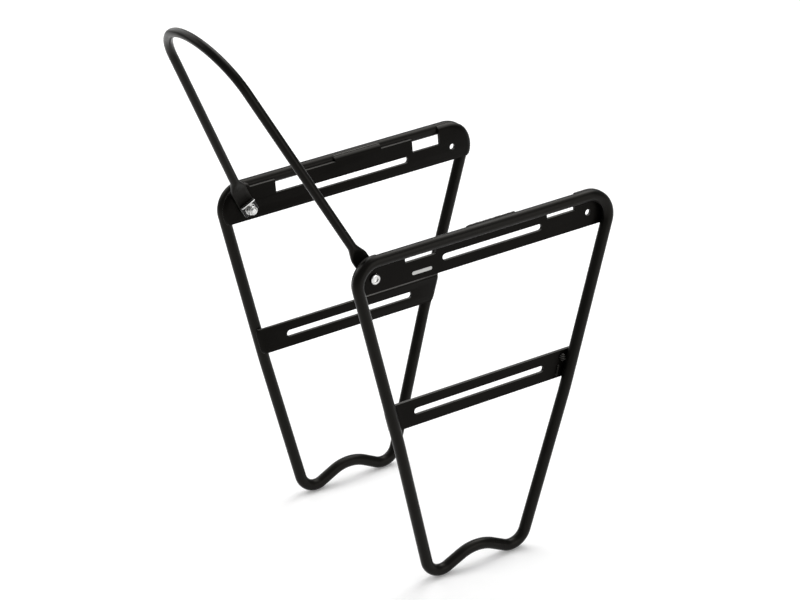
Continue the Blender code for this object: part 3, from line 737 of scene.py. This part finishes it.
def top_plate(side, name, material):
    sheet = Sheet()
    front, front_outwards, front_curls = front_edge()
    middle, middle_outwards, middle_curls = middle_edge()
    rear, rear_outwards, rear_curls = rear_edge()
    front_numbers = [sheet.add_point(p) for p in front]
    before_tab = [
        (FRONT_NOTCH[0], RAIL_HEIGHT),
        (FRONT_NOTCH[0], NOTCH_BOTTOM),
        (FRONT_NOTCH[1], NOTCH_BOTTOM),
        (FRONT_NOTCH[1], RAIL_HEIGHT),
    ]
    after_tab = [
        (REAR_NOTCH[0], RAIL_HEIGHT),
        (REAR_NOTCH[0], NOTCH_BOTTOM),
        (REAR_NOTCH[1], NOTCH_BOTTOM),
    ]
    before_numbers = [sheet.add_point(p) for p in before_tab]
    middle_numbers = [sheet.add_point(p) for p in middle]
    after_numbers = [sheet.add_point(p) for p in after_tab]
    rear_numbers = [sheet.add_point(p) for p in rear]
    holes = [
        round_hole(sheet, (PIVOT_FROM_FOOT_ZERO, PIVOT.z), CLEARANCE_RADIUS),
        long_slot(sheet, TOP_SLOT, PIVOT.z),
        round_hole(sheet, (REAR_HOLE_Y, PIVOT.z), REAR_HOLE_RADIUS),
    ]
    sheet.fill(front_numbers + before_numbers + middle_numbers + after_numbers + rear_numbers, holes)
    sheet.curl_edge(front_numbers, front_outwards, front_curls)
    sheet.curl_edge(middle_numbers, middle_outwards, middle_curls)
    sheet.curl_edge(rear_numbers, rear_outwards, rear_curls)
    return finish_plate(sheet, name, material, side)


def cross_plate(side, name, material):
    sheet = Sheet()
    front, front_outwards, front_curls = cross_edge(FRONT_LEG_AT_FLOOR, FRONT_LEG_LEAN, -1.0)
    rear, rear_outwards, rear_curls = cross_edge(REAR_LEG_AT_FLOOR, REAR_LEG_LEAN, 1.0)
    front_numbers = [sheet.add_point(p) for p in front]
    rear_numbers = [sheet.add_point(p) for p in reversed(rear)]
    sheet.fill(front_numbers + rear_numbers, [long_slot(sheet, CROSS_SLOT, CROSS_SLOT_HEIGHT)])
    sheet.curl_edge(front_numbers, front_outwards, front_curls)
    sheet.curl_edge(rear_numbers, rear_outwards, rear_curls[::-1])
    return finish_plate(sheet, name, material, side)


# Welds


def resample(points, spacing):
    """Evenly spaced points along a polyline."""
    runs = [0.0]
    for a, b in zip(points, points[1:]):
        runs.append(runs[-1] + (b - a).length)
    count = max(2, round(runs[-1] / spacing))
    even = []
    index = 0
    for step in range(count + 1):
        target = runs[-1] * step / count
        while index < len(runs) - 2 and runs[index + 1] < target:
            index += 1
        span = runs[index + 1] - runs[index]
        part = (target - runs[index]) / span if span else 0.0
        even.append(points[index].lerp(points[index + 1], min(1.0, part)))
    return even


def bead_along(side, name, line, radius, material, seed):
    """Rippled bead that follows a line, with rounded ends."""
    spacing = BEAD_PITCH / RIPPLE_STEPS
    end_length, end_run = 0.1 * MM, 1.2 * radius
    line = resample(line, spacing)
    draw = random.Random(seed)
    swell = [draw.uniform(1 - BEAD_SWELL, 1 + BEAD_SWELL) for _ in range(len(line) // RIPPLE_STEPS + 2)]
    points = []
    for index, centre in enumerate(line):
        along = (line[min(index + 1, len(line) - 1)] - line[max(index - 1, 0)]).normalized()
        across = along.cross(Vector((1.0, 0.0, 0.0)))
        if across.length < 0.1:
            across = along.cross(Vector((0.0, 0.0, 1.0)))
        across.normalize()
        normal = across.cross(along)
        ripple_number, step = divmod(index, RIPPLE_STEPS)
        share = step / RIPPLE_STEPS
        ripple = 1.0 + BEAD_RIPPLE * (share - 0.5)
        width = swell[ripple_number] * (1 - share) + swell[ripple_number + 1] * share
        from_end = min(index, len(line) - 1 - index) * spacing
        taper = math.sqrt(min(1.0, (from_end + end_length) / end_run))
        reach = radius * ripple * width * taper
        for k in range(BEAD_SIDES):
            angle = 2 * math.pi * k / BEAD_SIDES
            points.append(centre + reach * (across * math.cos(angle) + normal * math.sin(angle)))
    faces = tube_faces(len(line), BEAD_SIDES, False)
    return add_piece(name, points, faces, material, side, math.radians(70))


def weld_bead(side, name, edge, material, seed, size):
    """Bead that joins a curled edge to the rod."""
    radius = BEAD_RADIUS * size
    beyond_edge = 0.25 * radius
    line = []
    for base, outward, curl in zip(*edge):
        line.append(curl_place(base, outward, curl + beyond_edge, SHEET_OUTER_RADIUS + BEAD_SINK))
    return bead_along(side, name, line, radius, material, seed)


def groove_weld(side, name, heights, from_leg, radius, material, seed):
    """Bead on the cross plate's outer face, in the groove before the rear leg."""
    face = FRAME_HALF_SPACING - SHEET_OUTER_RADIUS
    line = []
    for step in range(WRAP_STEPS + 1):
        height = heights[0] + (heights[1] - heights[0]) * step / WRAP_STEPS
        place = leg_y(height, REAR_LEG_AT_FLOOR, REAR_LEG_LEAN) - from_leg
        line.append(Vector((face + GROOVE_BEAD_PROUD * radius, place - FOOT_ZERO, height)))
    return bead_along(side, name, line, radius, material, seed)


# Hoop


def hoop_centre_line():
    """Half of the hoop in its plane, from the pivot end to the apex: points (half spacing, height)."""
    tan_leg = math.tan(HOOP_LEG_ANGLE)
    arc_base = HOOP_APEX - HOOP_ARC_HEIGHT
    join = math.atan(HOOP_ARC_HEIGHT / HOOP_ARC_HALF_WIDTH * tan_leg)
    steps = 40
    arc = []
    for step in range(steps + 1):
        angle = join + (math.pi / 2 - join) * step / steps
        arc.append(
            Vector((HOOP_ARC_HALF_WIDTH * math.cos(angle), arc_base + HOOP_ARC_HEIGHT * math.sin(angle)))
        )
    bend_height = (HOOP_LEG_AT_PIVOT - SPADE_CENTRE) / tan_leg
    bend = fillet(
        (SPADE_CENTRE, -SPADE_LENGTH), (SPADE_CENTRE, bend_height), arc[0], SPADE_BEND_RADIUS, BEND_STEP / 2
    )
    tip_steps = 14
    tip = [-SPADE_HALF_WIDTH * math.cos(math.pi / 2 * k / tip_steps) for k in range(tip_steps)] + [0.0]
    spade = [Vector((SPADE_CENTRE, height)) for height in tip]
    taper_steps = 16
    along = (arc[0] - bend[-1]).normalized()
    taper = []
    for step in range(taper_steps + 1):
        height = SPADE_LENGTH + SPADE_TAPER * step / taper_steps
        taper.append(bend[-1] + along * (height - bend[-1].y) / along.y)
    return spade + bend + taper + arc


def hoop_section(height):
    """Half width, half thickness and roundness of the section at a height above the pivot."""
    rounded = min(1.0, max(0.0, (height - SPADE_LENGTH) / SPADE_TAPER))
    rounded = rounded * rounded * (3 - 2 * rounded)
    half_width = SPADE_HALF_WIDTH + (HOOP_RADIUS - SPADE_HALF_WIDTH) * rounded
    if height < 0:
        half_width = math.sqrt(max(0.0, SPADE_HALF_WIDTH**2 - height**2))
    half_width = max(half_width, SPADE_TIP_HALF_WIDTH)
    half_thickness = SPADE_THICKNESS / 2 + (HOOP_RADIUS - SPADE_THICKNESS / 2) * rounded
    return half_width, half_thickness, SPADE_ROUNDNESS + (2 - SPADE_ROUNDNESS) * rounded


def power(value, exponent):
    return math.copysign(abs(value) ** exponent, value)


def hoop(name, material):
    half = hoop_centre_line()
    path = half + [Vector((-p.x, p.y)) for p in reversed(half[:-1])]
    points = []
    for index, centre in enumerate(path):
        before = path[max(0, index - 1)]
        after = path[min(len(path) - 1, index + 1)]
        along = (after - before).normalized()
        square = Vector((-along.y, along.x))
        half_width, half_thickness, roundness = hoop_section(centre.y)
        for k in range(ROD_SIDES):
            angle = 2 * math.pi * k / ROD_SIDES
            wide = half_width * power(math.cos(angle), 2 / roundness)
            thick = half_thickness * power(math.sin(angle), 2 / roundness)
            flat = centre + square * thick
            spot = PIVOT + UP_LEG * flat.y + ACROSS_LEG * wide
            points.append(Vector((flat.x, spot.y, spot.z)))
    faces = tube_faces(len(path), ROD_SIDES, False)
    return add_piece(name, points, faces, material, 1, math.radians(50))


# Fasteners


def hexagon(flats):
    """Radius of a hexagon, as a function of the angle round it."""
    def radius(angle):
        sector = (angle + math.pi / 6) % (math.pi / 3) - math.pi / 6
        return flats / 2 / math.cos(sector)
    return radius


def clipped(shape, limit):
    return lambda angle: min(shape(angle), limit)


def turned(name, sections, material, side, ring=False, sharp=math.radians(30)):
    """A solid round the pivot axis from sections (place across the rack, radius or radius by angle)."""
    points = []
    for place, radius in sections:
        for k in range(TURNED_SIDES):
            angle = 2 * math.pi * k / TURNED_SIDES
            reach = radius(angle) if callable(radius) else radius
            spot = PIVOT + ACROSS_LEG * reach * math.cos(angle) + UP_LEG * reach * math.sin(angle)
            points.append(Vector((place, spot.y, spot.z)))
    faces = tube_faces(len(sections), TURNED_SIDES, ring)
    return add_piece(name, points, faces, material, side, sharp)


def quarter_round(place, radius, size, steps, towards):
    """Sections of a rounded edge that ends at a place, with the radius shrinking by its size."""
    sections = []
    for step in range(steps + 1):
        angle = math.pi / 2 * step / steps
        across = place - towards * size * (1 - math.sin(angle))
        sections.append((across, radius - size * (1 - math.cos(angle))))
    return sections


def thread_radius(place):
    """Radius by angle of an M5 thread at a place along its axis."""
    def radius(angle):
        turn = (place / THREAD_PITCH - angle / (2 * math.pi)) % 1.0
        depth = max(0.0, 1.0 - abs(turn - 0.5) * THREAD_FLANK)
        return THREAD_RADIUS - THREAD_DEPTH * depth
    return radius


def pivot_screw(side, name, material):
    """Button head screw: threaded shank, rounded head, hexagon socket with a conical bottom."""
    tip, crown = screw_low.x, screw_high.x
    seat = crown - HEAD_HEIGHT
    socket = hexagon(SOCKET_FLATS)
    chamfer, plain_shank, run_out = 0.5 * MM, 2.0 * MM, 0.4 * MM
    sections = [(tip, THREAD_RADIUS - chamfer)]
    thread_end = seat - plain_shank
    steps = math.ceil((thread_end - tip) / (THREAD_PITCH / THREAD_STEPS))
    for step in range(1, steps + 1):
        place = tip + (thread_end - tip) * step / steps
        limit = min(THREAD_RADIUS, THREAD_RADIUS - chamfer + (place - tip))
        sections.append((place, clipped(thread_radius(place), limit)))
    sections += [(thread_end + run_out, THREAD_RADIUS), (seat, THREAD_RADIUS)]
    edge = 0.12 * MM
    sections += [(seat, HEAD_RADIUS - edge), (seat + edge, HEAD_RADIUS)]
    dome_steps = 10
    flat_side = 0.55 * MM
    rim = 0.64 * HEAD_RADIUS
    for step in range(dome_steps + 1):
        angle = math.pi / 2 * step / dome_steps
        place = seat + flat_side + (HEAD_HEIGHT - flat_side) * math.sin(angle)
        sections.append((place, rim + (HEAD_RADIUS - rim) * math.cos(angle)))
    mouth, crown_ring = 0.18 * MM, 0.02 * MM
    cone_depth, cone_end = 0.4 * MM, 0.15 * SOCKET_FLATS
    sections += [(crown, clipped(lambda angle: socket(angle) + mouth, rim - crown_ring))]
    sections += [(crown - mouth, socket), (crown - SOCKET_DEPTH + cone_depth, socket)]
    sections += [(crown - SOCKET_DEPTH, cone_end)]
    return turned(name, sections, material, side)


def washer(side, name, material):
    edge = 0.15 * MM
    sections = [(washer_high.x, CLEARANCE_RADIUS)]
    sections += [(washer_high.x, WASHER_RADIUS - edge), (washer_high.x - edge, WASHER_RADIUS)]
    sections += [(washer_low.x + edge, WASHER_RADIUS), (washer_low.x, WASHER_RADIUS - edge)]
    sections += [(washer_low.x, CLEARANCE_RADIUS + edge), (washer_low.x + edge, CLEARANCE_RADIUS)]
    return turned(name, sections, material, side, ring=True)


def lock_nut(side, name, material):
    """Hexagon with 30 degree chamfers and a rolled collar over the nylon ring."""
    body = hexagon(NUT_FLATS)
    face, end = nut_high.x, nut_low.x
    shoulder = face - NUT_HEX_HEIGHT
    flat_circle = 0.485 * NUT_FLATS
    chamfer_rise = 1 / math.tan(math.radians(30))
    steps = 8
    depth = 0.45 * MM
    sections = [(face, CLEARANCE_RADIUS)]
    for step in range(steps + 1):
        down = depth * step / steps
        sections.append((face - down, clipped(body, flat_circle + down * chamfer_rise)))
    for step in range(steps, -1, -1):
        down = depth * step / steps
        sections.append((shoulder + down, clipped(body, flat_circle + down * chamfer_rise)))
    sections.append((shoulder, NUT_COLLAR_RADIUS))
    sections += quarter_round(end, NUT_COLLAR_RADIUS, COLLAR_ROUNDING, steps, -1)
    lip = NUT_COLLAR_RADIUS - COLLAR_ROLL
    lip_start, lip_end = 0.05 * MM, 0.25 * MM
    sections += [(end + lip_start, lip), (end + lip_end, NUT_POCKET_RADIUS)]
    sections += [(end + NYLON_DEPTH, NUT_POCKET_RADIUS), (end + NYLON_DEPTH, CLEARANCE_RADIUS)]
    return turned(name, sections, material, side, ring=True)


def nylon_ring(side, name, material):
    seat, end = nut_low.x + NYLON_DEPTH - GAP, nut_low.x + GAP
    room, outer_edge, inner_edge = 0.05 * MM, 0.1 * MM, 0.15 * MM
    outer, inner = NUT_POCKET_RADIUS - room, THREAD_RADIUS + room
    sections = [(seat, inner), (seat, outer), (end + outer_edge, outer)]
    sections += [(end, outer - outer_edge), (end, inner + inner_edge), (end + inner_edge, inner)]
    return turned(name, sections, material, side, ring=True)


def saddle(side, name, material):
    """Bent steel clip across the spade, with an upturned edge and rounded corners."""
    near = saddle_high.x
    thickness = SADDLE_THICKNESS
    outer_bend, inner_bend = 1.4 * MM, 0.3 * MM
    low, high = SADDLE_REACH
    top = saddle_low.x
    steps = 8
    profile = [(near, low), (near, high - outer_bend)]
    for step in range(1, steps + 1):
        angle = math.pi / 2 * step / steps
        across = near - outer_bend * (1 - math.cos(angle))
        profile.append((across, high - outer_bend + outer_bend * math.sin(angle)))
    profile += [(top, high), (top, high - thickness)]
    profile.append((near - thickness - inner_bend, high - thickness))
    for step in range(1, steps + 1):
        angle = math.pi / 2 * step / steps
        across = near - thickness - inner_bend * (1 - math.sin(angle))
        profile.append((across, high - thickness - inner_bend * (1 - math.cos(angle))))
    profile.append((near - thickness, low))
    rows = 29
    corner, edge_rounding = 1.6 * MM, 0.12 * MM
    points = []
    for row in range(rows):
        reach = -SPADE_HALF_WIDTH + 2 * SPADE_HALF_WIDTH * row / (rows - 1)
        from_end = min(reach + SPADE_HALF_WIDTH, SPADE_HALF_WIDTH - reach)
        inset = corner * (1 - corner_fullness(from_end, corner))
        for place, height in profile:
            kept_place = max(place, top + inset)
            kept_height = max(height, low + inset)
            spot = PIVOT + UP_LEG * kept_height + ACROSS_LEG * reach
            points.append(Vector((kept_place, spot.y, spot.z)))
    faces = tube_faces(rows, len(profile), False)
    piece = add_piece(name, points, faces, material, side)
    round_edges(piece, edge_rounding, limit=math.radians(50))
    return piece


# Print


def printed_bar(side, name, material):
    """A plain rounded bar of ink on the plate's outer face."""
    half_length, half_height, height = 9.5 * MM, 1.5 * MM, 275.6 * MM
    centre_y = 52.0 * MM
    thickness, sink = 0.04 * MM, 0.02 * MM
    face = top_plate_low.x + SHEET
    steps = 12
    straight = half_length - half_height
    outline = []
    for centre, start in ((straight, -math.pi / 2), (-straight, math.pi / 2)):
        for step in range(steps + 1):
            angle = start + math.pi * step / steps
            outline.append((centre + half_height * math.cos(angle), half_height * math.sin(angle)))
    count = len(outline)
    points = []
    for place in (face - sink, face + thickness):
        points += [Vector((place, centre_y + y - FOOT_ZERO, height + z)) for y, z in outline]
    faces = [tuple(reversed(range(count))), tuple(range(count, 2 * count))]
    faces += [(k, (k + 1) % count, (k + 1) % count + count, k + count) for k in range(count)]
    return add_piece(name, points, faces, material, side)


# Putting it together


def weld_beads(side, label, material):
    """One frame's beads: along the plates' curled edges, and in the groove before the rear leg."""
    curled_edges = [
        ("_front_weld", front_edge(), TOP_BEAD_SIZE),
        ("_tab_weld", middle_edge(), TAB_BEAD_SIZE),
        ("_rear_weld", rear_edge(), TOP_BEAD_SIZE),
        ("_cross_front_weld", cross_edge(FRONT_LEG_AT_FLOOR, FRONT_LEG_LEAN, -1.0), CROSS_BEAD_SIZE),
        ("_cross_rear_weld", cross_edge(REAR_LEG_AT_FLOOR, REAR_LEG_LEAN, 1.0), CROSS_BEAD_SIZE),
    ]
    grooves = [
        ("_cross_lump_weld", REAR_LUMP, REAR_LUMP_FROM_LEG, REAR_LUMP_RADIUS),
        ("_cross_streak_weld", REAR_STREAK, REAR_STREAK_FROM_LEG, REAR_STREAK_RADIUS),
    ]
    seed = FIRST_SEEDS[side]
    beads = []
    for ending, edge, size in curled_edges:
        beads.append(weld_bead(side, label + ending, edge, material, seed + len(beads), size))
    for ending, heights, from_leg, radius in grooves:
        name = label + ending
        beads.append(groove_weld(side, name, heights, from_leg, radius, material, seed + len(beads)))
    return beads


def build_side(side, label, looks):
    body = label + "_frame"
    rod = rod_loop(side, label + "_rod_loop", looks["rod"])
    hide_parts(label + "_side_frame_rod")
    upper = top_plate(side, label + "_slotted_top_plate", looks["plate"])
    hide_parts(label + "_top_plate")
    lower = cross_plate(side, label + "_slotted_cross_plate", looks["plate"])
    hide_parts(label + "_cross_plate")
    welds = weld_beads(side, label, looks["weld"])
    ink = printed_bar(side, label + "_printed_bar", looks["ink"])
    for piece in [rod, upper, lower, ink] + welds:
        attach(piece, body)
    fasteners = [
        (pivot_screw, "_button_head_screw", "_pivot_screw", "screw"),
        (saddle, "_saddle_clip", "_saddle_washer", "clip"),
        (washer, "_plain_washer", "_flat_washer", "screw"),
        (lock_nut, "_nylon_insert_nut", "_lock_nut", "screw"),
        (nylon_ring, "_nylon_insert", "_nut_nylon_ring", "nylon"),
    ]
    for make, ending, node_ending, look in fasteners:
        piece = make(side, label + ending, looks[look])
        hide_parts(label + node_ending)
        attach(piece, "hoop")


def add_floor():
    half = FLOOR_HALF_SIZE
    mesh = bpy.data.meshes.new("floor")
    corners = [(-half, -half, 0.0), (half, -half, 0.0), (half, half, 0.0), (-half, half, 0.0)]
    mesh.from_pydata(corners, [], [(0, 1, 2, 3)])
    mesh.materials.append(studio_floor())
    floor = bpy.data.objects.new("floor", mesh)
    bpy.context.scene.collection.objects.link(floor)


def add_light(name, place, target, width, height, watts):
    light = bpy.data.lights.new(name, "AREA")
    light.shape = "RECTANGLE"
    light.size = width
    light.size_y = height
    light.energy = watts
    lamp = bpy.data.objects.new(name, light)
    lamp.location = place
    lamp.rotation_euler = (target - place).to_track_quat("-Z", "Y").to_euler()
    bpy.context.scene.collection.objects.link(lamp)


def add_studio():
    """A white room lit mostly from behind, with weak softboxes to the sides and overhead."""
    world = bpy.data.worlds.new("studio")
    world.use_nodes = True
    room = world.node_tree.nodes["Background"]
    room.inputs["Color"].default_value = (1.0, 1.0, 1.0, 1.0)
    room.inputs["Strength"].default_value = ROOM_LIGHT
    bpy.context.scene.world = world
    for name, bearing, rise, width, height, watts in SOFTBOXES:
        bearing, rise = math.radians(bearing), math.radians(rise)
        level = math.cos(rise)
        towards = Vector((level * math.cos(bearing), level * math.sin(bearing), math.sin(rise)))
        add_light(name, LIT_POINT + LIGHT_DISTANCE * towards, LIT_POINT, width, height, watts)


def add_camera():
    cos_turn, sin_turn = math.cos(VIEW_TURN), math.sin(VIEW_TURN)
    cos_rise, sin_rise = math.cos(VIEW_RISE), math.sin(VIEW_RISE)
    back = Vector((sin_turn * cos_rise, -cos_turn * cos_rise, sin_rise))
    level_right = Vector((cos_turn, sin_turn, 0.0))
    level_up = back.cross(level_right)
    right = level_right * math.cos(VIEW_ROLL) + level_up * math.sin(VIEW_ROLL)
    up = back.cross(right)
    turn = Matrix((right, up, back)).transposed().to_4x4()
    data = bpy.data.cameras.new("camera")
    data.lens = LENS
    data.sensor_width = SENSOR
    camera = bpy.data.objects.new("camera", data)
    camera.matrix_world = Matrix.Translation(VIEW_TARGET + back * VIEW_DISTANCE) @ turn
    bpy.context.scene.collection.objects.link(camera)
    bpy.context.scene.camera = camera


def make_looks():
    return {
        "rod": powder_coat("rod_powder_coat", ROD_SHADES, (0.26, 0.36), ROD_SPECULAR),
        # the plate and weld coats carry a painted highlight on what faces up or down
        "plate": powder_coat("plate_powder_coat", PLATE_SHADES, (0.30, 0.42), PLATE_SPECULAR, PLATE_PAINTED_HIGHLIGHT),
        "weld": powder_coat("weld_powder_coat", ROD_SHADES, (0.24, 0.34), ROD_SPECULAR, WELD_PAINTED_HIGHLIGHT),
        "screw": zinc_plate("bright_zinc", (0.78, 0.78, 0.77), (0.08, 0.20), (1.0, 6.0, 6.0)),
        # the clip's faces below its upturned edge get a painted shade
        "clip": zinc_plate(
            "pressed_zinc", (0.80, 0.80, 0.79), (0.16, 0.30), (6.0, 1.0, 6.0), flats=(0.035, 0.035, 0.035)
        ),
        "nylon": nylon(),
        "ink": printed_ink(),
    }


def build():
    looks = make_looks()
    for side, label in ((1, "left"), (-1, "right")):
        build_side(side, label, looks)
    rod = hoop("hoop_rod", looks["rod"])
    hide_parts("wheel_hoop")
    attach(rod, "hoop")
    add_floor()
    add_studio()
    add_camera()
    bpy.context.scene.view_settings.view_transform = "Standard"


build()
